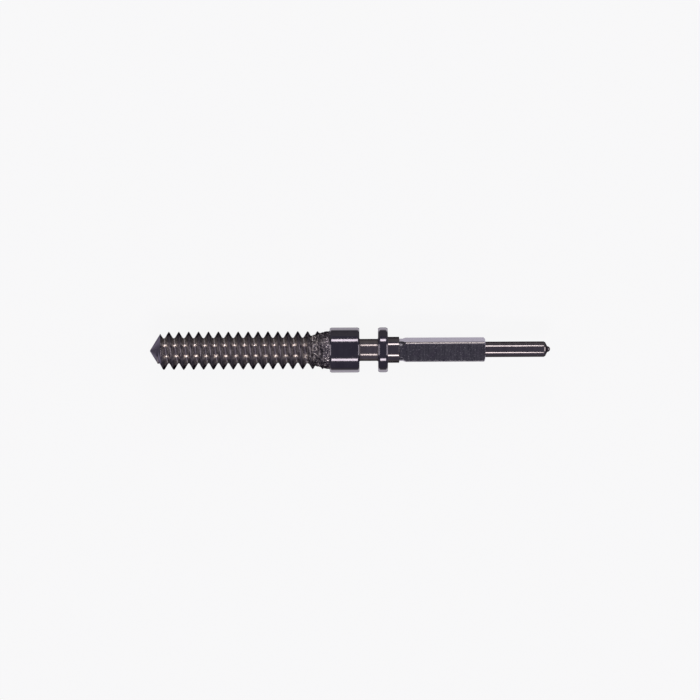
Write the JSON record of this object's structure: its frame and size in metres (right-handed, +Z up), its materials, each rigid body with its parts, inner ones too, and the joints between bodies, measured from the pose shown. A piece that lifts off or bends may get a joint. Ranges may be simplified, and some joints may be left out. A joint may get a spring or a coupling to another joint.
{
  "type": "watch winding stem",
  "caption": "Turned steel winding stem with a pointed crown thread, collar, setting-lever groove, pinion seat, clutch square and slender pilot.",
  "frame": {"origin": "on the stem's axis, at the collar's inner shoulder where the setting lever's groove begins", "axes": "+X along the stem toward its pilot, +Z up with the square's flats facing Y and Z"},
  "size_m": [0.0091, 0.001, 0.001],
  "materials": {
    "threaded_steel": "hardened carbon steel, die-cut thread with torn fine texture",
    "polished_steel": "hardened carbon steel, turned and polished",
    "ground_steel": "hardened carbon steel, flats milled and ground across"
  },
  "bodies": {
    "root": {"shank_point": "polished_steel", "crown_thread": "threaded_steel", "plate_journal": "polished_steel", "lever_neck": "polished_steel", "lever_flange": "polished_steel", "pinion_hub": "polished_steel", "clutch_square": "ground_steel", "pilot_pivot": "polished_steel"}
  },
  "joints": []
}
